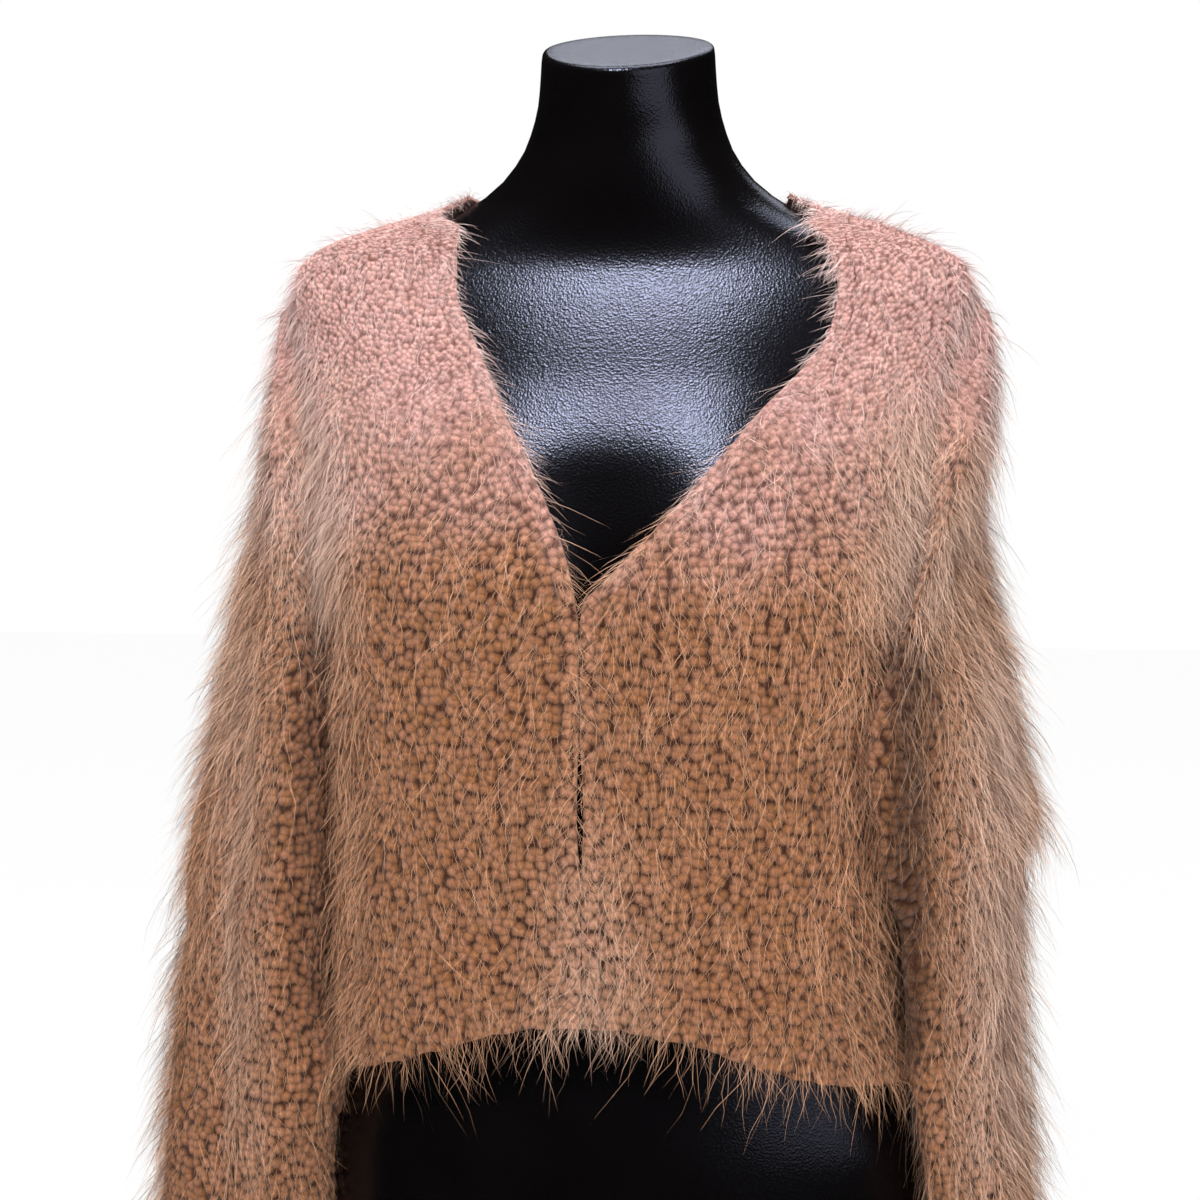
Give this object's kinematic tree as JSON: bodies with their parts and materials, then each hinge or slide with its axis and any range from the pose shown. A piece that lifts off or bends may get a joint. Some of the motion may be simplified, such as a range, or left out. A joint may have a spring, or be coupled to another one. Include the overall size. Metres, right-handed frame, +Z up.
{
  "type": "cropped cardigan on dress form",
  "caption": "Fuzzy cropped knit cardigan with a V neck, narrow front bands and long dropped-shoulder sleeves, hanging on a smooth limbless dress form with a flat base and a flat tilted neck cap.",
  "frame": {"origin": "the middle of the flat base that the dress form stands on", "axes": "+Z up, -Y the way the form faces, +X the wearer's left"},
  "size_m": [0.5385, 0.2508, 0.7764],
  "materials": {
    "form": "black, fine pebble grain, semi-gloss",
    "knit": "loose bobbly knit with long soft eyelash hairs, pink at the shoulders and camel below",
    "band": "narrow denser knit edge, dusty pink",
    "wire": "plain small hooks and eyes"
  },
  "bodies": {
    "root": {"dress_form": "form", "back": "knit", "front_left": "knit", "front_right": "knit", "sleeve_left": "knit", "sleeve_right": "knit", "band_left": "band", "band_right": "band", "band_back": "band", "hook_1": "wire", "hook_2": "wire", "hook_3": "wire", "hook_4": "wire", "eye_1": "wire", "eye_2": "wire", "eye_3": "wire", "eye_4": "wire"}
  },
  "joints": []
}
